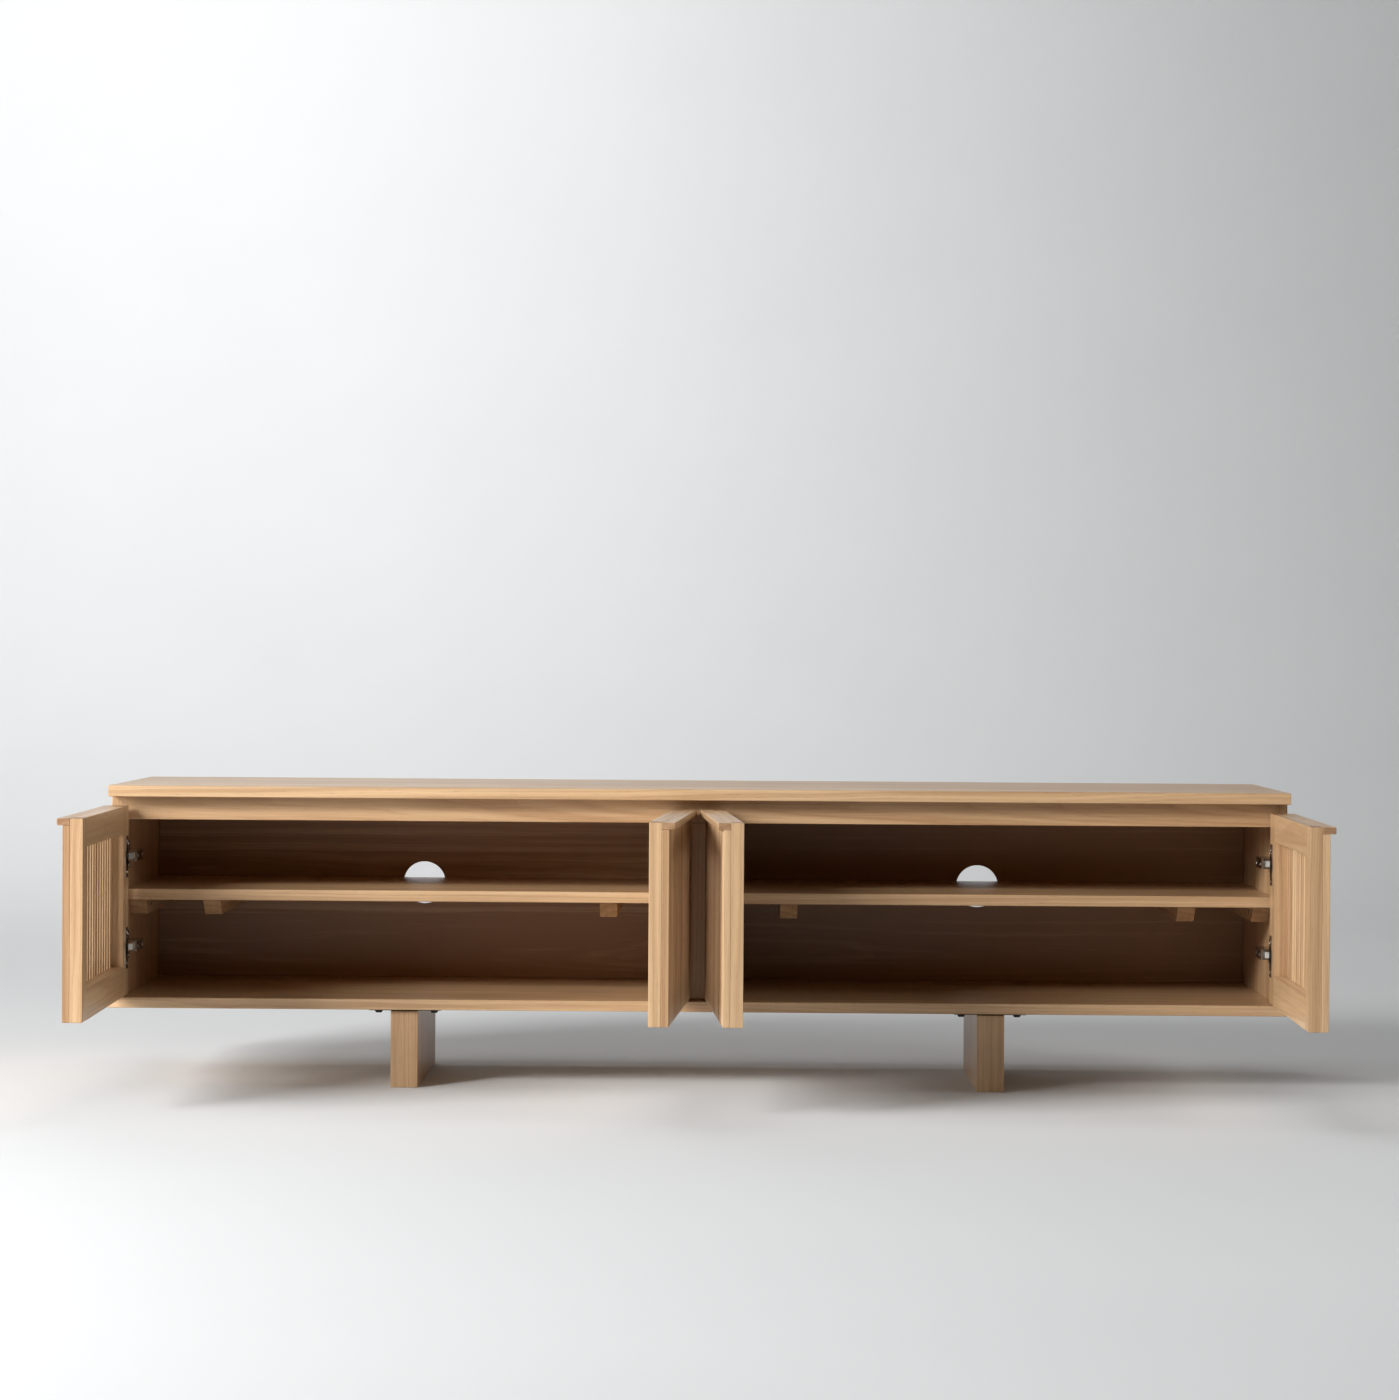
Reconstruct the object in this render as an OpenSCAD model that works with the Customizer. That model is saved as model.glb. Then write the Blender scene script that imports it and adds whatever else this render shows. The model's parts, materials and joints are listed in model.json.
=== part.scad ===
// Low oak media cabinet: two bays, each with a shelf and a pair of slatted doors,
// standing on two slab legs. +Z is up, -Y is the front, and the origin is on the floor
// under the middle of the whole object, with its doors standing open.

/* [Cabinet] */
// Width of the cabinet
cabinet_w = 2000; // [1600:10:2400]
// Depth of the top and bottom panels
cabinet_d = 450; // [400:5:520]
// Height from the floor to the top
cabinet_h = 510; // [480:5:600]
// Thickness of the top panel
top_t = 19; // [16:1:25]
// Thickness of the bottom panel
bottom_t = 18; // [16:1:25]
// Thickness of the side and divider panels
side_t = 19; // [16:1:22]
// Thickness of the back panels
back_t = 12; // [6:1:15]
// How far the top and bottom panels stand out in front of the sides
overhang = 40; // [36:1:60]
// How far the back panels are set in from the rear edge
back_inset = 11; // [5:1:25]
// Height of the front and rear rails under the top
rail_h = 40; // [35:1:60]
// Thickness of the rails and centre stiles
rail_t = 20; // [16:1:25]
// Width of the hollow centre divider
divider_w = 64; // [60:1:90]
// Break along the long edges of the panels
edge_break = 1; // [0.5:0.25:2]

/* [Shelves] */
// Thickness of a shelf
shelf_t = 19; // [16:1:25]
// Height of the shelf above the middle of its bay
shelf_rise = 21.5; // [0:0.5:40]
// How far the front of a shelf is set back from the front of the sides
shelf_setback = 12; // [5:1:40]
// Width of a bearer under a shelf
bearer_w = 30; // [20:1:40]
// Height of a bearer
bearer_h = 29; // [20:1:35]
// How far the front of a bearer is set back from the front of the sides
bearer_setback = 60; // [40:1:120]
// Distance from the cabinet's centre to the inner loose bearer
inner_bearer_x = 155; // [120:1:250]
// Distance from the cabinet's centre to the outer loose bearer
outer_bearer_x = 838; // [600:1:850]
// Diameter of a cable hole
cable_hole_d = 76; // [50:1:90]

/* [Legs] */
// Width of a leg slab
leg_w = 46; // [40:1:70]
// Depth of a leg slab
leg_d = 360; // [300:5:400]
// Height from the floor to the bottom panel
clearance_h = 133; // [100:1:160]
// Distance from the cabinet's centre to a leg's centre
leg_x = 497; // [400:1:700]
// How far a leg is set back from the front of the bottom panel
leg_setback = 12; // [5:1:40]
// Width of a leg's steel mounting plate
plate_w = 122; // [110:1:140]
// Thickness of the mounting plate
plate_t = 3; // [2:0.5:4]
// Distance from the leg's centre line to a bolt
bolt_x = 47.5; // [40:0.5:50]
// Distance from a leg's end to its bolts
bolt_inset = 43; // [30:1:80]
// Diameter of a bolt head
bolt_head_d = 15; // [12:0.5:16]
// Height of a bolt head
bolt_head_h = 5; // [4:0.5:6]

/* [Doors] */
// Thickness of the frame of a door
frame_t = 20; // [18:1:24]
// Thickness of the slats on a door
slat_t = 12; // [8:1:14]
// Width of one slat
slat_w = 15; // [12:0.5:20]
// Number of slats on a door
slat_count = 19; // [15:1:22]
// Width of the stile at the hinges
hinge_stile_w = 56; // [50:1:70]
// Width of the stile at the free edge
free_stile_w = 38; // [30:1:60]
// Height of the top rail of a door
door_top_rail_h = 46; // [40:1:60]
// Height of the bottom rail of a door
door_bottom_rail_h = 50; // [40:1:60]
// Height of the pull strip along the top of a door
pull_h = 11; // [8:0.5:16]
// How far the pull strip stands out from the slats
pull_out = 9; // [5:0.5:10]
// Gap between a closed door and the cabinet behind it
door_gap = 2.5; // [2:0.25:4]
// Gap under a door
under_gap = 3.5; // [2:0.25:6]
// Height of a door
door_h = 320.5; // [300:0.5:325]
// Gap between the two closed doors of a bay
meeting_gap = 3; // [2:0.5:5]
// Gap between a closed door's edge and the outside of the cabinet
edge_reveal = 1.5; // [1:0.25:3]
// How far door 1, the outer door on the left, stands open
door_1_open = 88.6; // [0:0.1:90]
// How far door 2, the inner door on the left, stands open
door_2_open = 86.7; // [0:0.1:90]
// How far door 3, the inner door on the right, stands open
door_3_open = 86.1; // [0:0.1:90]
// How far door 4, the outer door on the right, stands open
door_4_open = 88.7; // [0:0.1:90]

/* [Hinges] */
// Distance from a door's hinge edge to its turning axis
axis_in = 8.5; // [8:0.25:9]
// Distance from a door's slat face to its turning axis
axis_back = 11; // [10.5:0.25:12]
// Height of the lower hinge above a door's bottom
hinge_low = 80; // [70:1:110]
// Distance of the upper hinge below a door's top
hinge_high = 86; // [70:1:110]
// Diameter of a hinge cup
cup_d = 35; // [35:1:36]
// Depth of a hinge cup
cup_depth = 12.5; // [12:0.25:13]

/* [Hidden] */
$fn = 48;

// Colours
oak = [0.80, 0.63, 0.43];
pale_oak = [0.84, 0.69, 0.50];
steel = [0.72, 0.72, 0.70];
black_steel = [0.06, 0.06, 0.06];

// Turning axes of the doors, in a frame whose Y is 0 at the front of the sides
door_t = frame_t + slat_t;
half_w = cabinet_w / 2;
half_divider = divider_w / 2;
side_overlay = side_t - edge_reveal;
door_outer_edge = half_w - edge_reveal;
door_inner_edge = half_divider - side_overlay;
door_w = (door_outer_edge - door_inner_edge - meeting_gap) / 2;
axis_y = -door_gap - door_t + axis_back;
axis_x = [
    -door_outer_edge + axis_in,
    -door_inner_edge - axis_in,
    door_inner_edge + axis_in,
    door_outer_edge - axis_in
];
door_hand = [1, -1, 1, -1];
door_open = [door_1_open, door_2_open, door_3_open, door_4_open];

// Y of the front of the sides: it puts the origin under the middle of the object
swing_w = door_w - axis_in;
pull_reach = axis_back + pull_out;
door_reach = [for (a = door_open) swing_w * sin(a) + pull_reach * cos(a)];
front_reach = max(door_reach) - axis_y;
rear_y = cabinet_d - overhang;
front_y = (front_reach - rear_y) / 2;

// Heights
bay_z = clearance_h + bottom_t;
top_z = cabinet_h - top_t;
rail_z = top_z - rail_h;
shelf_z = (bay_z + rail_z) / 2 + shelf_rise - shelf_t / 2;
door_z = bay_z + under_gap;
leg_h = clearance_h - plate_t;

// Depths
back_y = rear_y - back_inset - back_t;
leg_y = -overhang + leg_setback;

// Fits
shelf_gap = 1;
seam = 0.5;

// Bearers: the cleats are the bearers at the ends of a bay
bearer_nose = 4;
bearer_slope = 25;
cleat_outer_x = half_w - side_t - bearer_w / 2;
cleat_inner_x = half_divider + bearer_w / 2;

// Hinges
hinge_z = [door_z + hinge_low, door_z + door_h - hinge_high];
cup_inset = cup_d / 2 + 5;
cup_wall = 1.5;
flange_t = 1.5;
flange_h = 70;
flange_w = 22;
screw_hole_d = 4;
screw_pitch = 52;
neck_r_in = 24;
neck_r_out = 31;
neck_half_h = 5;
neck_from = 26;
neck_to = 58;
arm_w = 24;
arm_h = 18;
arm_front = 1.5;
arm_back = 66;
wing_t = 3;
wing_h = 48;
wing_front = 24;
wing_back = 48;

// Bolts
washer_d = 17;
washer_t = 1.5;
socket_d = 6;
socket_depth = 3;

module to_front() {
    translate([0, front_y, 0]) children();
}

// A board along X whose four long edges are broken
module board(from, size) {
    b = edge_break;
    translate([from[0], from[1], from[2]])
        rotate([90, 0, 90])
            linear_extrude(size[0])
                polygon([
                    [b, 0], [size[1] - b, 0], [size[1], b], [size[1], size[2] - b],
                    [size[1] - b, size[2]], [b, size[2]], [0, size[2] - b], [0, b]
                ]);
}

module top_panel() {
    color(oak) to_front()
        board([-half_w, -overhang, top_z], [cabinet_w, cabinet_d, top_t]);
}

module bottom_panel() {
    color(oak) to_front()
        board([-half_w, -overhang, clearance_h], [cabinet_w, cabinet_d, bottom_t]);
}

// A side panel: hand is -1 on the left and 1 on the right
module side_panel(hand) {
    color(oak) to_front()
        translate([hand < 0 ? -half_w : half_w - side_t, 0, bay_z])
            cube([side_t, rear_y, top_z - bay_z]);
}

// One skin of the hollow centre divider, notched for the front and rear rails
module divider_panel(hand) {
    back_x = hand < 0 ? -half_divider : half_divider - side_t;
    color(oak) to_front()
        difference() {
            translate([back_x, 0, bay_z])
                cube([side_t, back_y, top_z - bay_z]);
            for (y = [-1, back_y - rail_t])
                translate([back_x - 1, y, rail_z])
                    cube([side_t + 2, rail_t + 1, rail_h + 1]);
        }
}

// A rail between the sides, under the top
module cross_rail(y) {
    color(oak) to_front()
        translate([-half_w + side_t, y, rail_z])
            cube([cabinet_w - 2 * side_t, rail_t, rail_h]);
}

// A filler between the two skins of the divider
module stile_filler(y) {
    color(oak) to_front()
        translate([-half_divider + side_t, y, bay_z])
            cube([divider_w - 2 * side_t, rail_t, rail_z - bay_z]);
}

// A back panel with its cable hole, behind one bay
module back_panel(hand) {
    panel_w = half_w - side_t - seam / 2;
    color(oak) to_front()
        difference() {
            translate([hand < 0 ? -half_w + side_t : seam / 2, back_y, bay_z])
                cube([panel_w, back_t, top_z - bay_z]);
            translate([hand * half_w / 2, back_y - 1, shelf_z + shelf_t / 2])
                rotate([-90, 0, 0])
                    cylinder(d = cable_hole_d, h = back_t + 2, $fn = 96);
        }
}

module shelf(hand) {
    shelf_w = half_w - side_t - half_divider - 2 * shelf_gap;
    left_x = hand < 0 ? -half_w + side_t + shelf_gap : half_divider + shelf_gap;
    color(pale_oak) to_front()
        board([left_x, shelf_setback, shelf_z],
              [shelf_w, back_y - shelf_gap - shelf_setback, shelf_t]);
}

// A bearer that runs front to back under a shelf, with a sloping front end
module bearer(middle_x) {
    length = back_y - bearer_setback - shelf_gap;
    color(pale_oak) to_front()
        translate([middle_x - bearer_w / 2, bearer_setback, shelf_z - bearer_h])
            rotate([90, 0, 90])
                linear_extrude(bearer_w)
                    polygon([
                        [bearer_slope, 0], [length, 0], [length, bearer_h],
                        [0, bearer_h], [0, bearer_h - bearer_nose]
                    ]);
}

module leg(hand) {
    color(oak) to_front()
        translate([hand * leg_x - leg_w / 2, leg_y, 0])
            cube([leg_w, leg_d, leg_h]);
}

// Places its children at the four bolts of one leg
module at_leg_bolts(hand) {
    for (side = [-1, 1], y = [leg_y + bolt_inset, leg_y + leg_d - bolt_inset])
        translate([hand * leg_x + side * bolt_x, y, leg_h])
            children();
}

// The steel plate that screws to the bottom panel and carries a leg
module leg_plate(hand) {
    plate_inset = 10;
    color(black_steel) to_front()
        translate([hand * leg_x - plate_w / 2, leg_y + plate_inset, leg_h])
            cube([plate_w, leg_d - 2 * plate_inset, plate_t]);
}

// Head and washer of a bolt under its plate
module bolt_head() {
    dome = 0.7;
    difference() {
        union() {
            translate([0, 0, -washer_t]) cylinder(d = washer_d, h = washer_t);
            translate([0, 0, -washer_t - bolt_head_h])
                cylinder(d1 = bolt_head_d * dome, d2 = bolt_head_d, h = bolt_head_h);
        }
        translate([0, 0, -washer_t - bolt_head_h - 1])
            cylinder(d = socket_d, h = socket_depth + 1, $fn = 6);
    }
}

module leg_bolts() {
    color(black_steel) to_front()
        for (hand = [-1, 1])
            at_leg_bolts(hand)
                bolt_head();
}

// Draws its children on a door's turning axis: +X runs from the hinge to the free edge
module at_axis(i) {
    to_front()
        translate([axis_x[i - 1], axis_y, 0])
            mirror([door_hand[i - 1] < 0 ? 1 : 0, 0, 0])
                children();
}

// Draws its children on an open door: X is 0 at the hinge edge, Y is 0 on the inner face
module at_door(i) {
    at_axis(i)
        rotate([0, 0, -door_open[i - 1]])
            translate([-axis_in, door_t - axis_back, door_z])
                children();
}

// A vertical of a door frame between x and x + w
module stile(i, x, w) {
    color(pale_oak) at_door(i)
        difference() {
            translate([x, -frame_t, 0])
                cube([w, frame_t, door_h]);
            if (x == 0)
                for (z = hinge_z)
                    translate([cup_inset, 1, z - door_z])
                        rotate([90, 0, 0])
                            cylinder(d = cup_d, h = cup_depth + 1);
        }
}

module hinge_stile(i) {
    stile(i, 0, hinge_stile_w);
}

module free_stile(i) {
    stile(i, door_w - free_stile_w, free_stile_w);
}

// A horizontal of a door frame, between its stiles
module door_rail(i, z, h) {
    color(pale_oak) at_door(i)
        translate([hinge_stile_w, -frame_t, z])
            cube([door_w - hinge_stile_w - free_stile_w, frame_t, h]);
}

module door_top_rail(i) {
    door_rail(i, door_h - door_top_rail_h, door_top_rail_h);
}

module door_bottom_rail(i) {
    door_rail(i, 0, door_bottom_rail_h);
}

// The upright slats that face a door, from its bottom to the pull strip
module door_slats(i) {
    pitch = (door_w - slat_w) / (slat_count - 1);
    color(oak) at_door(i)
        for (k = [0 : slat_count - 1])
            translate([k * pitch, -door_t, 0])
                cube([slat_w, slat_t, door_h - pull_h]);
}

// The strip along the top of a door that fingers pull
module door_pull(i) {
    color(oak) at_door(i)
        translate([0, -door_t - pull_out, door_h - pull_h])
            cube([door_w, slat_t + pull_out, pull_h]);
}

// A hinge cup let into the stile, with its screw flange on the inner face
module hinge_cup() {
    cup_r = cup_d / 2;
    difference() {
        union() {
            rotate([90, 0, 0]) cylinder(r = cup_r, h = cup_depth);
            translate([-flange_w / 2, 0, -flange_h / 2])
                cube([flange_w, flange_t, flange_h]);
            rotate([-90, 0, 0]) cylinder(r = cup_r, h = flange_t);
        }
        translate([0, -cup_depth + cup_wall, 0])
            rotate([-90, 0, 0]) cylinder(r = cup_r - cup_wall, h = cup_depth + flange_t);
        for (side = [-1, 1])
            translate([0, -1, side * screw_pitch / 2])
                rotate([-90, 0, 0]) cylinder(d = screw_hole_d, h = flange_t + 2);
    }
}

module hinge_cups(i) {
    color(steel) at_door(i)
        for (z = hinge_z)
            translate([cup_inset, 0, z - door_z])
                hinge_cup();
}

// The fixed arm of a hinge: its neck curls round the turning axis into the cup,
// and its base plate lies on the panel beside it, whose face is at x = panel_x
module hinge_arm(panel_x) {
    front = arm_front - axis_y;
    translate([0, 0, -neck_half_h])
        rotate([0, 0, neck_from])
            rotate_extrude(angle = neck_to - neck_from)
                translate([neck_r_in, 0])
                    square([neck_r_out - neck_r_in, 2 * neck_half_h]);
    translate([panel_x, front, -arm_h / 2])
        cube([arm_w, arm_back - arm_front, arm_h]);
    translate([panel_x, front + wing_front, -wing_h / 2])
        cube([wing_t, wing_back - wing_front, wing_h]);
}

module hinge_arms() {
    panel_x = side_overlay - axis_in;
    color(steel)
        for (i = [1 : 4])
            at_axis(i)
                for (z = hinge_z)
                    translate([0, 0, z])
                        hinge_arm(panel_x);
}

top_panel();
bottom_panel();
side_panel(-1);  // left_side
side_panel(1);  // right_side
divider_panel(-1);  // left_divider
divider_panel(1);  // right_divider
cross_rail(0);  // front_rail
cross_rail(back_y - rail_t);  // rear_rail
stile_filler(0);  // centre_stile
stile_filler(back_y - rail_t);  // rear_stile
back_panel(-1);  // left_back
back_panel(1);  // right_back
shelf(-1);  // left_shelf
shelf(1);  // right_shelf
bearer(-cleat_outer_x);  // left_outer_cleat
bearer(-cleat_inner_x);  // left_inner_cleat
bearer(cleat_inner_x);  // right_inner_cleat
bearer(cleat_outer_x);  // right_outer_cleat
bearer(-outer_bearer_x);  // left_outer_bearer
bearer(-inner_bearer_x);  // left_inner_bearer
bearer(inner_bearer_x);  // right_inner_bearer
bearer(outer_bearer_x);  // right_outer_bearer
leg(-1);  // left_leg
leg(1);  // right_leg
leg_plate(-1);  // left_leg_plate
leg_plate(1);  // right_leg_plate
leg_bolts();
hinge_arms();
hinge_stile(1);  // door_1_hinge_stile
free_stile(1);  // door_1_free_stile
door_top_rail(1);  // door_1_top_rail
door_bottom_rail(1);  // door_1_bottom_rail
door_slats(1);  // door_1_slats
door_pull(1);  // door_1_pull
hinge_cups(1);  // door_1_hinge_cups
hinge_stile(2);  // door_2_hinge_stile
free_stile(2);  // door_2_free_stile
door_top_rail(2);  // door_2_top_rail
door_bottom_rail(2);  // door_2_bottom_rail
door_slats(2);  // door_2_slats
door_pull(2);  // door_2_pull
hinge_cups(2);  // door_2_hinge_cups
hinge_stile(3);  // door_3_hinge_stile
free_stile(3);  // door_3_free_stile
door_top_rail(3);  // door_3_top_rail
door_bottom_rail(3);  // door_3_bottom_rail
door_slats(3);  // door_3_slats
door_pull(3);  // door_3_pull
hinge_cups(3);  // door_3_hinge_cups
hinge_stile(4);  // door_4_hinge_stile
free_stile(4);  // door_4_free_stile
door_top_rail(4);  // door_4_top_rail
door_bottom_rail(4);  // door_4_bottom_rail
door_slats(4);  // door_4_slats
door_pull(4);  // door_4_pull
hinge_cups(4);  // door_4_hinge_cups
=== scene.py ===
"""Oak media cabinet with its doors open: materials, screws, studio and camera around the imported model."""

import json
import math

import bmesh
import bpy
from mathutils import Matrix, Vector


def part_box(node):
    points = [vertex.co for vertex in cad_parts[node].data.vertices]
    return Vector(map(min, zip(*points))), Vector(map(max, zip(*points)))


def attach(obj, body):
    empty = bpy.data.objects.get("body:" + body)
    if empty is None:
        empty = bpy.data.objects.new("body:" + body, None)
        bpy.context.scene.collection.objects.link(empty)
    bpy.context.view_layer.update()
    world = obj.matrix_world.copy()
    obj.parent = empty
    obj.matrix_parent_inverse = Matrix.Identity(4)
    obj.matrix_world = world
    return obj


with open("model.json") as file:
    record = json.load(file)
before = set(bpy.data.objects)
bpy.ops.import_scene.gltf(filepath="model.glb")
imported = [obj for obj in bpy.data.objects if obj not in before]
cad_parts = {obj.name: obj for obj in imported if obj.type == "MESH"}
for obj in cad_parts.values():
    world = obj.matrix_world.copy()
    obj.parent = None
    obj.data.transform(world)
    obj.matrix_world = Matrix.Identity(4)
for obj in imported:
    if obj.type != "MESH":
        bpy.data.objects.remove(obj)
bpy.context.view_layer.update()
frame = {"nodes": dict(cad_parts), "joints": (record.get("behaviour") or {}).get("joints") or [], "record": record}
NODES = frame["nodes"]
DOORS = {joint["child"]: joint for joint in frame["joints"]}

# Where the photographer stood, measured from the middle of the cabinet's front, in metres
CAMERA_RIGHT = 0.066
CAMERA_DISTANCE = 6.097
CAMERA_HEIGHT = 0.733
CAMERA_YAW = math.radians(0.62)
CAMERA_PITCH = math.radians(0.68)
CAMERA_ROLL = math.radians(0.38)
# The camera's own sizes, in millimetres
CAMERA_LENS = 92.2
SENSOR_WIDTH = 36.0

# The boards' rounded edges: their width in metres, and the facets in each
EDGE_ROUND = 0.0012
EDGE_SEGMENTS = 2
# Corners closer than this, in metres, are one corner, and a bend sharper than this is an edge
WELD_REACH = 0.00001
SHARP_ANGLE = math.radians(40)


# ---------------------------------------------------------------- node helpers
class Graph:
    """A material's node tree, with short calls for the nodes that the materials share."""

    def __init__(self, name):
        self.material = bpy.data.materials.new(name)
        self.material.use_nodes = True
        self.tree = self.material.node_tree
        self.tree.nodes.clear()
        self.shader = self.add("ShaderNodeBsdfPrincipled")
        output = self.add("ShaderNodeOutputMaterial")
        self.link(self.shader.outputs["BSDF"], output.inputs["Surface"])

    def add(self, kind, **settings):
        made = self.tree.nodes.new(kind)
        for key, value in settings.items():
            setattr(made, key, value)
        return made

    def link(self, source, target):
        self.tree.links.new(source, target)

    def put(self, socket, value):
        """Links value to the socket if it is a socket itself, and sets it if it isn't."""
        if isinstance(value, bpy.types.NodeSocket):
            self.link(value, socket)
        else:
            socket.default_value = value

    def math(self, operation, a, b=0.0, clamp=False):
        made = self.add("ShaderNodeMath", operation=operation, use_clamp=clamp)
        self.put(made.inputs[0], a)
        self.put(made.inputs[1], b)
        return made.outputs[0]

    def times_plus(self, a, b, c):
        """a times b, plus c."""
        made = self.add("ShaderNodeMath", operation="MULTIPLY_ADD")
        self.put(made.inputs[0], a)
        self.put(made.inputs[1], b)
        self.put(made.inputs[2], c)
        return made.outputs[0]

    def dot(self, a, b):
        made = self.add("ShaderNodeVectorMath", operation="DOT_PRODUCT")
        self.put(made.inputs[0], a)
        self.put(made.inputs[1], b)
        return made.outputs["Value"]

    def combine(self, x, y, z):
        made = self.add("ShaderNodeCombineXYZ")
        for socket, value in zip(made.inputs, (x, y, z)):
            self.put(socket, value)
        return made.outputs[0]

    def object_coords(self):
        return self.add("ShaderNodeTexCoord").outputs["Object"]

    def noise(self, coords, scale, detail=2.0, roughness=0.5):
        """Noise with its own scale along each axis, mostly between 0.3 and 0.7."""
        stretch = self.add("ShaderNodeVectorMath", operation="MULTIPLY")
        self.put(stretch.inputs[0], coords)
        self.put(stretch.inputs[1], scale)
        made = self.add("ShaderNodeTexNoise")
        self.link(stretch.outputs[0], made.inputs["Vector"])
        made.inputs["Scale"].default_value = 1.0
        made.inputs["Detail"].default_value = detail
        made.inputs["Roughness"].default_value = roughness
        return made.outputs["Fac"]

    def span(self, value, low, high, to_low=0.0, to_high=1.0):
        """value between low and high, as a number from to_low to to_high."""
        made = self.add("ShaderNodeMapRange", clamp=True)
        self.put(made.inputs["Value"], value)
        made.inputs["From Min"].default_value = low
        made.inputs["From Max"].default_value = high
        made.inputs["To Min"].default_value = to_low
        made.inputs["To Max"].default_value = to_high
        return made.outputs["Result"]

    def mix(self, share, a, b, blend="MIX"):
        """Mixes two colours, whose sockets have the same names as the node's other sockets."""
        made = self.add("ShaderNodeMix", data_type="RGBA", blend_type=blend)
        self.put(made.inputs["Factor"], share)
        self.put(made.inputs[6], a)
        self.put(made.inputs[7], b)
        return made.outputs[2]

    def bump(self, height, strength, distance):
        """Shades the surface as if it rose by height times distance, in metres."""
        made = self.add("ShaderNodeBump")
        made.inputs["Strength"].default_value = strength
        made.inputs["Distance"].default_value = distance
        self.put(made.inputs["Height"], height)
        self.link(made.outputs["Normal"], self.shader.inputs["Normal"])


# ---------------------------------------------------------------- oak
OAK_PALE = (0.640, 0.430, 0.240, 1.0)
OAK_DARK = (0.330, 0.170, 0.072, 1.0)
OAK_PORE = (0.210, 0.108, 0.050, 1.0)
# End grain's colour is multiplied by this
OAK_END = (0.66, 0.58, 0.53, 1.0)
# In metres: a usual stave, the room left beyond a board's faces, a seam's dark core and its faded
# edge, a year's growth, and the depth of the pith below a stave's middle before it is varied
STAVE_WIDTH = 0.11
SEAM_CLEAR = 0.001
SEAM_CORE = 0.00015
SEAM_EDGE = 0.0004
RING_PITCH = 0.0036
PITH_DEPTH = 0.035
# Noise cells per metre along the grain, across it and through the board
SWAY_SCALE = (1.6, 9.0, 9.0)
STREAK_SCALE = (3.0, 160.0, 160.0)
FIBRE_SCALE = (16.0, 1100.0, 1100.0)
CLOUD_SCALE = (1.3, 14.0, 14.0)
PORE_SCALE = (45.0, 1700.0, 1700.0)
# Noise cells per metre along the grain and away from the pith; the third isn't used
YEARS_SCALE = (0.5, 120.0, 1.0)
# Noise lies mostly between these two
NOISE_LOW = 0.3
NOISE_HIGH = 0.7
# How far apart in their trees two staves can lie: along the grain, across it and through the board
STAVE_SHIFT = (7.0, 3.0, 3.0)
# Moves each node's staves to their own place in the white noise
NODE_SHIFT = 0.37
# How far the pith's place varies to the side, in depth and in its lean, and how far it sways both ways
PITH_ASIDE = 0.06
PITH_DEEPER = 0.04
PITH_LEAN = 0.05
SWAY_ASIDE = 0.05
SWAY_DEEPER = 0.03
# How much darker than OAK_PALE each marking makes the wood, where 1 is OAK_DARK
YEARS_DARKER = 0.50
LATE_DARKER = 0.14
STREAK_DARKER = (-0.10, 0.23)
FIBRE_DARKER = (-0.06, 0.10)
CLOUD_DARKER = (-0.08, 0.12)

# For the last word of a node's name: the axes along the grain, across it and through the board
LAYS = {
    "panel": "XYZ", "shelf": "XYZ", "pull": "XYZ",
    "rail": "XZY", "back": "XZY",
    "stile": "ZXY", "slats": "ZXY", "leg": "ZXY",
    "side": "ZYX", "divider": "ZYX",
    "cleat": "YXZ", "bearer": "YXZ",
}
# Boards side by side in a node, where its width doesn't say
STAVES = {"slats": 19, "leg": 2}
# Painted shade: how much darker than the rest the boards of the cabinet's inside are made, all over, to stand in
# for the shade that falls inside, as a share of the way from OAK_PALE to OAK_DARK
PAINTED_INTERIOR_SHADE = {"back": 0.62, "side": 0.10, "divider": 0.30}
# How much the staves of a board differ in darkness
SPREAD = {"slats": 0.55}
USUAL_SPREAD = 0.26


def door_turn(door):
    """Turn about Z, in radians, from a closed door to the same door at rest."""
    joint = DOORS[door]
    return math.radians(-joint["range_deg"][0]) * joint["axis"][2]


def node_turn(node):
    """The turn about Z at rest of the door that a node belongs to, and 0 for the cabinet's own nodes."""
    for door in DOORS:
        if node.startswith(door + "_"):
            return door_turn(door)
    return 0.0


def board_axes(node):
    """Unit vectors along the grain of a wooden node, across it and through it, at rest."""
    turn = Matrix.Rotation(node_turn(node), 3, "Z")
    unit = {"X": Vector((1, 0, 0)), "Y": Vector((0, 1, 0)), "Z": Vector((0, 0, 1))}
    return [turn @ unit[letter] for letter in LAYS[node.split("_")[-1]]]


def reach(obj, axis):
    """Lowest and highest place of an object's vertices along an axis."""
    places = [axis.dot(vertex.co) for vertex in obj.data.vertices]
    return min(places), max(places)


def staves(g, point, node, kind, axes, seed):
    """A point's places across and through its stave, three random numbers for the stave, and 1 on a seam."""
    cells = []
    places = []
    seam = 0.0
    for index in (1, 2):
        low, high = reach(NODES[node], axes[index])
        low -= SEAM_CLEAR
        width = high + SEAM_CLEAR - low
        count = STAVES.get(kind) if index == 1 else None
        count = count or max(1, round(width / STAVE_WIDTH))
        lane = g.math("DIVIDE", g.math("SUBTRACT", g.dot(point, axes[index]), low), width / count)
        cells.append(g.math("FLOOR", lane))
        middle = g.math("SUBTRACT", g.math("FRACT", lane), 0.5)
        places.append(g.math("MULTIPLY", middle, width / count))
        from_seam = g.math("MULTIPLY", g.math("PINGPONG", lane, 0.5), width / count)
        seam = g.math("MAXIMUM", seam, g.span(from_seam, SEAM_CORE, SEAM_EDGE, 1.0, 0.0))
    dice = g.add("ShaderNodeTexWhiteNoise", noise_dimensions="3D")
    g.put(dice.inputs["Vector"], g.combine(cells[0], cells[1], NODE_SHIFT * seed))
    split = g.add("ShaderNodeSeparateColor")
    g.link(dice.outputs["Color"], split.inputs[0])
    return places, split.outputs, seam


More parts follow.
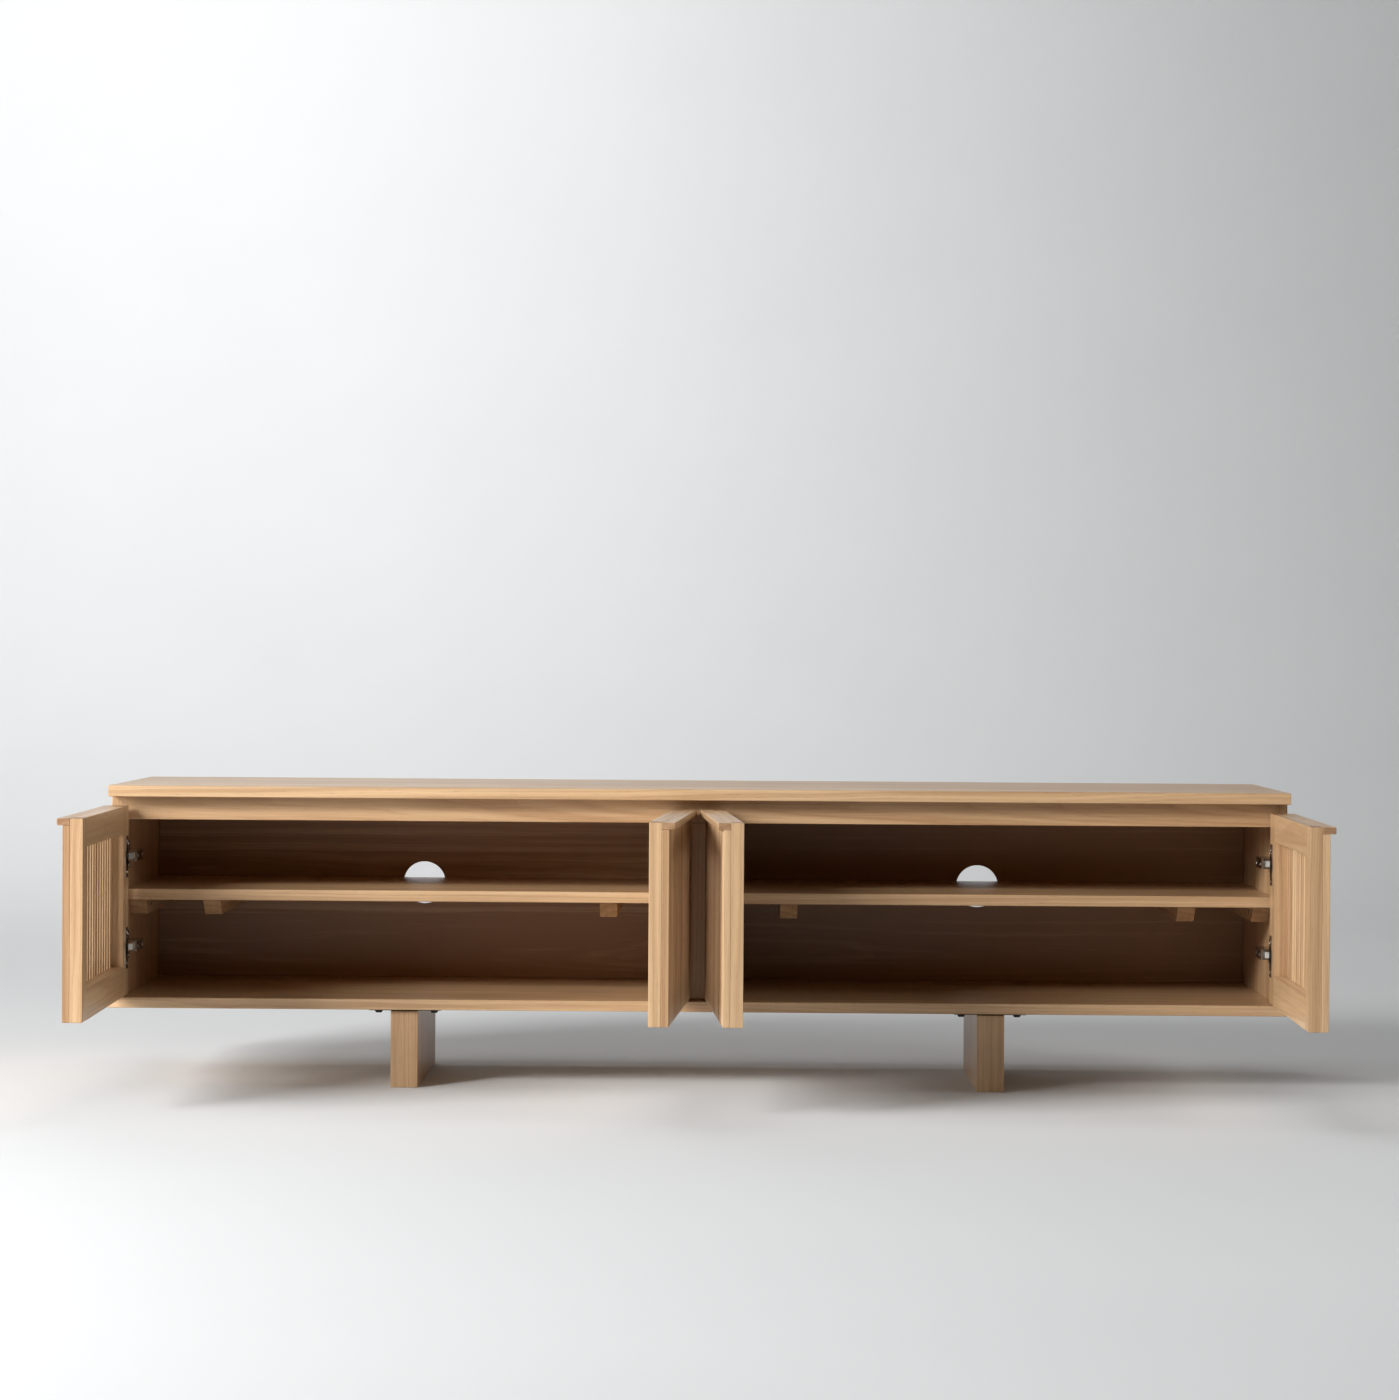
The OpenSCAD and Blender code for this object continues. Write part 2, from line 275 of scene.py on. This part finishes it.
def from_pith(g, along, places, chance, board):
    """Distance in metres from the middle of the stave's tree, which leans and sways a little."""
    sway = g.noise(board, SWAY_SCALE, detail=3.0)
    lean = g.math("MULTIPLY", g.math("SUBTRACT", chance[2], 0.5), PITH_LEAN)
    across = g.times_plus(g.math("SUBTRACT", chance[0], 0.5), PITH_ASIDE, places[0])
    across = g.times_plus(g.math("SUBTRACT", sway, 0.5), SWAY_ASIDE, across)
    deep = g.times_plus(chance[1], PITH_DEEPER, g.math("ADD", places[1], PITH_DEPTH))
    deep = g.times_plus(lean, along, deep)
    deep = g.times_plus(g.math("SUBTRACT", sway, 0.5), SWAY_DEEPER, deep)
    squares = g.math("ADD", g.math("MULTIPLY", across, across), g.math("MULTIPLY", deep, deep))
    return g.math("SQRT", squares)


def oak(node, seed):
    """Oiled oak for one node: glued staves, growth rings about a pith, pores, fibres, end grain, and painted shade
    on the boards of the cabinet's inside.
    """
    g = Graph("oak_" + node)
    kind = node.split("_")[-1]
    point = g.object_coords()
    axes = board_axes(node)
    along = g.dot(point, axes[0])
    places, chance, seam = staves(g, point, node, kind, axes, seed)

    # Each stave is cut from its own part of a tree
    board = g.combine(
        g.times_plus(chance[0], STAVE_SHIFT[0], along),
        g.times_plus(chance[1], STAVE_SHIFT[1], places[0]),
        g.times_plus(chance[2], STAVE_SHIFT[2], places[1]),
    )
    radius = from_pith(g, along, places, chance, board)

    # Rings, their slow change from year to year, fibres, and the pores of the spring wood
    late = g.span(g.math("FRACT", g.math("DIVIDE", radius, RING_PITCH)), 0.0, 0.55, 1.0, 0.0)
    years = g.noise(g.combine(along, radius, 0.0), YEARS_SCALE, detail=4.0)
    streak = g.noise(board, STREAK_SCALE, detail=4.0, roughness=0.6)
    fibre = g.noise(board, FIBRE_SCALE)
    cloud = g.noise(board, CLOUD_SCALE)
    pore = g.span(g.noise(board, PORE_SCALE, detail=1.0), 0.62, 0.70)

    # How dark the wood is, from 0 for pale to 1 for dark
    # Painted shade: the back, sides and dividers are darkened all over to stand in for the shade inside the
    # cabinet
    painted_shade = PAINTED_INTERIOR_SHADE.get(kind, 0.0)
    spread = SPREAD.get(kind, USUAL_SPREAD)
    depth = g.times_plus(late, LATE_DARKER, g.span(years, 0.33, 0.67, painted_shade, painted_shade + YEARS_DARKER))
    for marking, darker in ((streak, STREAK_DARKER), (fibre, FIBRE_DARKER), (cloud, CLOUD_DARKER)):
        depth = g.math("ADD", depth, g.span(marking, NOISE_LOW, NOISE_HIGH, *darker))
    depth = g.math("ADD", depth, g.span(chance[1], 0.0, 1.0, -spread / 2, spread / 2), clamp=True)
    colour = g.mix(depth, OAK_PALE, OAK_DARK)
    colour = g.mix(g.math("MULTIPLY", pore, g.times_plus(late, 0.4, 0.12)), colour, OAK_PORE)
    colour = g.mix(g.math("MULTIPLY", seam, 0.5), colour, OAK_PORE)

    # End grain drinks more oil and is darker
    normal = g.add("ShaderNodeTexCoord").outputs["Normal"]
    end = g.span(g.math("ABSOLUTE", g.dot(normal, axes[0])), 0.6, 0.85)
    colour = g.mix(end, colour, OAK_END, blend="MULTIPLY")
    g.link(colour, g.shader.inputs["Base Color"])

    g.shader.inputs["Coat Weight"].default_value = 0.2
    g.shader.inputs["Coat Roughness"].default_value = 0.32
    rough = g.math("ADD", g.span(streak, 0.25, 0.75, 0.33, 0.45), g.math("MULTIPLY", end, 0.2))
    g.put(g.shader.inputs["Roughness"], rough)
    relief = g.math("SUBTRACT", g.math("MULTIPLY", fibre, 0.35), g.math("MULTIPLY", pore, 0.8))
    g.bump(g.math("SUBTRACT", relief, seam), strength=0.35, distance=0.0003)
    return g.material


# ---------------------------------------------------------------- metals
NICKEL_DARK = (0.40, 0.37, 0.33, 1.0)
NICKEL_PALE = (0.58, 0.55, 0.50, 1.0)
BLACK_DARK = (0.012, 0.012, 0.013, 1.0)
BLACK_PALE = (0.030, 0.029, 0.028, 1.0)
# Noise cells per metre along X, Y and Z
SCRATCH_SCALE = (900.0, 900.0, 60.0)
HAZE_SCALE = (40.0, 40.0, 40.0)
GRIT_SCALE = (1400.0, 1400.0, 1400.0)


def nickel():
    """Satin nickel plate with fine scratches and a faint haze."""
    g = Graph("satin_nickel")
    coords = g.object_coords()
    scratch = g.noise(coords, SCRATCH_SCALE, detail=3.0)
    haze = g.noise(coords, HAZE_SCALE)
    g.shader.inputs["Metallic"].default_value = 1.0
    g.put(g.shader.inputs["Base Color"], g.mix(haze, NICKEL_DARK, NICKEL_PALE))
    g.put(g.shader.inputs["Roughness"], g.span(scratch, NOISE_LOW, NOISE_HIGH, 0.13, 0.24))
    g.bump(scratch, strength=0.12, distance=0.0001)
    return g.material


def black_paint():
    """Fine-textured black powder coat."""
    g = Graph("black_paint")
    grit = g.noise(g.object_coords(), GRIT_SCALE)
    g.put(g.shader.inputs["Base Color"], g.mix(grit, BLACK_DARK, BLACK_PALE))
    g.put(g.shader.inputs["Roughness"], g.span(grit, NOISE_LOW, NOISE_HIGH, 0.42, 0.60))
    g.bump(grit, strength=0.25, distance=0.0002)
    return g.material


# ---------------------------------------------------------------- dressing the CAD nodes
def round_edges(obj):
    """Rounds a board's edges: the weld first joins the corners that the import split."""
    weld = obj.modifiers.new("weld", "WELD")
    weld.merge_threshold = WELD_REACH
    bevel = obj.modifiers.new("round", "BEVEL")
    bevel.width = EDGE_ROUND
    bevel.segments = EDGE_SEGMENTS
    bevel.limit_method = "ANGLE"
    bevel.angle_limit = SHARP_ANGLE
    bevel.harden_normals = True


def dress(metals):
    """Gives every CAD node its material, and every board its rounded edges."""
    slots = {part["node"]: part["material_slot"] for part in frame["record"]["subparts"]}
    for seed, name in enumerate(sorted(NODES)):
        obj = NODES[name]
        material = metals.get(slots[name])
        if material is None:
            material = oak(name, seed + 1)
            round_edges(obj)
        obj.data.materials.clear()
        obj.data.materials.append(material)


# ---------------------------------------------------------------- screws
SCREW_SIDES = 32
# A head's outline from its rim up to its crown, then down into the recess, as shares of radius and height
DOME_RINGS = ((1.0, 0.0), (1.0, 0.25), (0.86, 0.72), (0.62, 1.0))
RECESS_RINGS = ((0.44, 1.0), (0.20, 0.30))
# How much the cross widens and narrows the recess, as a share of its radius
CROSS_DEPTH = 0.5
# Radius and height of the heads, in metres
CUP_HEAD = (0.0038, 0.0013)
WING_HEAD = (0.0040, 0.0016)
ARM_HEAD = (0.0034, 0.0010)
CLEAT_HEAD = (0.0040, 0.0010)
# In metres: how deep heads are sunk, how far apart the two on a cup or a wing are, half the height of a
# cup's flange, how far wings and arms stand off their panel, and how far back from the front of the
# cabinet's sides their screws are. The wings are those of the arms' base plates.
CUP_SINK = 0.0004
CUP_SCREW_PITCH = 0.052
FLANGE_HALF = 0.035
WING_FACE = 0.0028
WING_BACK = 0.0375
WING_SCREW_PITCH = 0.036
ARM_FACE = 0.0238
ARM_SCREWS_BACK = (0.014, 0.056)
CLEAT_SINK = 0.0002
# Screws along a cleat, as shares of its length
CLEAT_SHARES = (0.15, 0.5, 0.85)
# The cleats, and the way along X that each one faces
CLEATS = (
    ("left_outer_cleat", 1),
    ("left_inner_cleat", -1),
    ("right_inner_cleat", 1),
    ("right_outer_cleat", -1),
)
# Doors whose axis is further than this from the middle hang on the cabinet's sides
OUTER_AXIS = 0.5


def add_screw(bm, place, axis, radius, height):
    """Adds a domed screw head with a cross recess, standing on place and pointing along axis."""
    turn = Vector(axis).to_track_quat("Z", "Y").to_matrix()
    outline = [(ring, 0.0) for ring in DOME_RINGS] + [(ring, CROSS_DEPTH) for ring in RECESS_RINGS]
    rings = []
    for (share, level), cross in outline:
        ring = []
        for k in range(SCREW_SIDES):
            a = 2 * math.pi * k / SCREW_SIDES
            r = radius * share * (1 + cross * math.cos(4 * a))
            offset = Vector((r * math.cos(a), r * math.sin(a), height * level))
            ring.append(bm.verts.new(Vector(place) + turn @ offset))
        rings.append(ring)
    for lower, upper in zip(rings, rings[1:]):
        for k in range(SCREW_SIDES):
            n = (k + 1) % SCREW_SIDES
            bm.faces.new((lower[k], lower[n], upper[n], upper[k]))
    bm.faces.new(rings[-1])
    bm.faces.new(rings[0][::-1])


def screw_piece(name, body, heads, material):
    """One mesh of screw heads that rides on a body; heads are (place, axis, radius, height)."""
    bm = bmesh.new()
    for head in heads:
        add_screw(bm, *head)
    mesh = bpy.data.meshes.new(name)
    bm.to_mesh(mesh)
    bm.free()
    mesh.materials.append(material)
    obj = bpy.data.objects.new(name, mesh)
    bpy.context.scene.collection.objects.link(obj)
    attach(obj, body)


def hinge_panel(joint):
    """The inner face of the panel that a door hangs on, and the way that it faces: 1 or -1 along X."""
    left_hand = joint["axis"][2] < 0
    if abs(joint["pos_m"][0]) > OUTER_AXIS:
        holder = "left_side" if left_hand else "right_side"
    else:
        holder = "right_divider" if left_hand else "left_divider"
    low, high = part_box(holder)
    return (high.x, 1) if left_hand else (low.x, -1)


def cup_layout(door, rest):
    """Where a door's cups are on the closed door: their middle, inner face and two heights."""
    cups = [rest.inverted() @ vertex.co for vertex in NODES[door + "_hinge_cups"].data.vertices]
    middle = (min(p.x for p in cups) + max(p.x for p in cups)) / 2
    face = max(p.y for p in cups)
    heights = [min(p.z for p in cups) + FLANGE_HALF, max(p.z for p in cups) - FLANGE_HALF]
    return middle, face, heights


def hinge_screws(material):
    """Screws in the cups' flanges, which turn with the doors, and in the fixed arms and wings."""
    side_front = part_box("left_side")[0].y
    fixed = []
    for door, joint in DOORS.items():
        rest = Matrix.Translation(joint["pos_m"]) @ Matrix.Rotation(door_turn(door), 4, "Z")
        middle, face, heights = cup_layout(door, rest)
        inward = rest.to_3x3() @ Vector((0, 1, 0))
        panel_x, hand = hinge_panel(joint)
        turning = []
        for height in heights:
            z = (rest @ Vector((0, 0, height))).z
            for end in (-1, 1):
                on_flange = Vector((middle, face - CUP_SINK, height + end * CUP_SCREW_PITCH / 2))
                turning.append((rest @ on_flange, inward, *CUP_HEAD))
                on_wing = (panel_x + hand * WING_FACE, side_front + WING_BACK, z + end * WING_SCREW_PITCH / 2)
                fixed.append((on_wing, (hand, 0, 0), *WING_HEAD))
            for back in ARM_SCREWS_BACK:
                on_arm = (panel_x + hand * ARM_FACE, side_front + back, z)
                fixed.append((on_arm, (hand, 0, 0), *ARM_HEAD))
        screw_piece(door + "_hinge_screws", door, turning, material)
    screw_piece("cabinet_hinge_screws", "cabinet", fixed, material)


def cleat_screws(material):
    """Screws through the cleats that carry the ends of the shelves."""
    heads = []
    for name, facing in CLEATS:
        low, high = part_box(name)
        face = high.x if facing > 0 else low.x
        for share in CLEAT_SHARES:
            place = (face - facing * CLEAT_SINK, low.y + share * (high.y - low.y), (low.z + high.z) / 2)
            heads.append((place, (facing, 0, 0), *CLEAT_HEAD))
    screw_piece("cleat_screws", "cabinet", heads, material)


# ---------------------------------------------------------------- studio
# The sheet of paper, in metres, and the steps in its curve
PAPER_HALF = 5.0
PAPER_FRONT = -4.6
WALL_Y = 8.5
SWEEP_RADIUS = 4.5
WALL_TOP = 7.0
SWEEP_STEPS = 24
PAPER_DARK = (0.71, 0.72, 0.725, 1.0)
PAPER_PALE = (0.75, 0.755, 0.76, 1.0)
MOTTLE_SCALE = (1.5, 1.5, 1.5)
SURROUND = (0.70, 0.71, 0.72, 1.0)
# The key and the fill face this place, and the key's parts are this far from it
AIM = (0.0, 0.0, 0.4)
KEY_DISTANCE = 5.6
KEY_SIZE = (1.3, 1.3)
# Parts of the key light: degrees round to the left, degrees up, and watts
KEY_PARTS = ((45, 24, 215), (60, 20, 100), (58, 12, 160))
# The other lights: name, place, target, size in metres, and watts
OTHER_LIGHTS = (
    ("fill", (4.4, -1.8, 2.2), AIM, (2.0, 2.0), 58),
    ("top", (-0.2, 0.6, 4.6), (0.0, 0.4, 0.0), (3.6, 1.6), 40),
    ("wash", (-2.5, 4.5, 5.5), (-1.5, 8.0, 1.5), (4.0, 1.0), 240),
)


def paper():
    """Matt studio paper with a faint mottle."""
    g = Graph("studio_paper")
    mottle = g.noise(g.object_coords(), MOTTLE_SCALE, detail=3.0)
    g.put(g.shader.inputs["Base Color"], g.mix(mottle, PAPER_DARK, PAPER_PALE))
    g.shader.inputs["Roughness"].default_value = 0.85
    g.shader.inputs["Specular IOR Level"].default_value = 0.2
    return g.material


def studio_sweep():
    """A floor that curves up into a wall, far enough back that views from behind stand in front of it."""
    outline = [(PAPER_FRONT, 0.0)]
    for k in range(SWEEP_STEPS + 1):
        a = math.pi / 2 * k / SWEEP_STEPS
        outline.append((WALL_Y + SWEEP_RADIUS * (math.sin(a) - 1), SWEEP_RADIUS * (1 - math.cos(a))))
    outline.append((WALL_Y, WALL_TOP))
    bm = bmesh.new()
    rows = [[bm.verts.new((x, y, z)) for y, z in outline] for x in (-PAPER_HALF, PAPER_HALF)]
    for k in range(len(outline) - 1):
        bm.faces.new((rows[0][k], rows[1][k], rows[1][k + 1], rows[0][k + 1]))
    mesh = bpy.data.meshes.new("studio_sweep")
    bm.to_mesh(mesh)
    bm.free()
    for polygon in mesh.polygons:
        polygon.use_smooth = True
    obj = bpy.data.objects.new("studio_sweep", mesh)
    bpy.context.scene.collection.objects.link(obj)
    obj.data.materials.append(paper())


def area_light(name, place, target, size, power):
    """A soft rectangular light that faces its target and that the camera doesn't see."""
    data = bpy.data.lights.new(name, "AREA")
    data.shape = "RECTANGLE"
    data.size, data.size_y = size
    data.energy = power
    obj = bpy.data.objects.new(name, data)
    obj.location = place
    obj.rotation_mode = "QUATERNION"
    obj.rotation_quaternion = (Vector(target) - Vector(place)).to_track_quat("-Z", "Y")
    obj.visible_camera = False
    bpy.context.scene.collection.objects.link(obj)


def lights():
    """A soft key in parts from the front left, a weak fill, a top light, and a wash on the paper behind."""
    for number, (azimuth, elevation, power) in enumerate(KEY_PARTS):
        turn = math.radians(azimuth)
        rise = math.radians(elevation)
        away = Vector((-math.sin(turn) * math.cos(rise), -math.cos(turn) * math.cos(rise), math.sin(rise)))
        area_light(f"key_{number}", Vector(AIM) + KEY_DISTANCE * away, AIM, KEY_SIZE, power)
    for light in OTHER_LIGHTS:
        area_light(*light)


def background():
    """A pale surround, for views that look past the paper. It lights nothing."""
    world = bpy.data.worlds.new("surround")
    bpy.context.scene.world = world
    world.use_nodes = True
    fill = world.node_tree.nodes["Background"]
    fill.inputs["Color"].default_value = SURROUND
    seen_by = world.cycles_visibility
    seen_by.diffuse = False
    seen_by.glossy = False
    seen_by.transmission = False
    seen_by.scatter = False


def camera():
    """The photograph's viewpoint, placed from the front of the cabinet's sides."""
    front_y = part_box("left_side")[0].y
    data = bpy.data.cameras.new("camera")
    data.lens = CAMERA_LENS
    data.sensor_width = SENSOR_WIDTH
    obj = bpy.data.objects.new("camera", data)
    turn = (
        Matrix.Rotation(CAMERA_YAW, 4, "Z")
        @ Matrix.Rotation(math.pi / 2 - CAMERA_PITCH, 4, "X")
        @ Matrix.Rotation(CAMERA_ROLL, 4, "Z")
    )
    obj.matrix_world = Matrix.Translation((CAMERA_RIGHT, front_y - CAMERA_DISTANCE, CAMERA_HEIGHT)) @ turn
    bpy.context.scene.collection.objects.link(obj)
    bpy.context.scene.camera = obj


camera()
steel = nickel()
dress({"hinge_steel": steel, "black_steel": black_paint()})
hinge_screws(steel)
cleat_screws(steel)
studio_sweep()
lights()
background()
bpy.context.scene.view_settings.view_transform = "Standard"
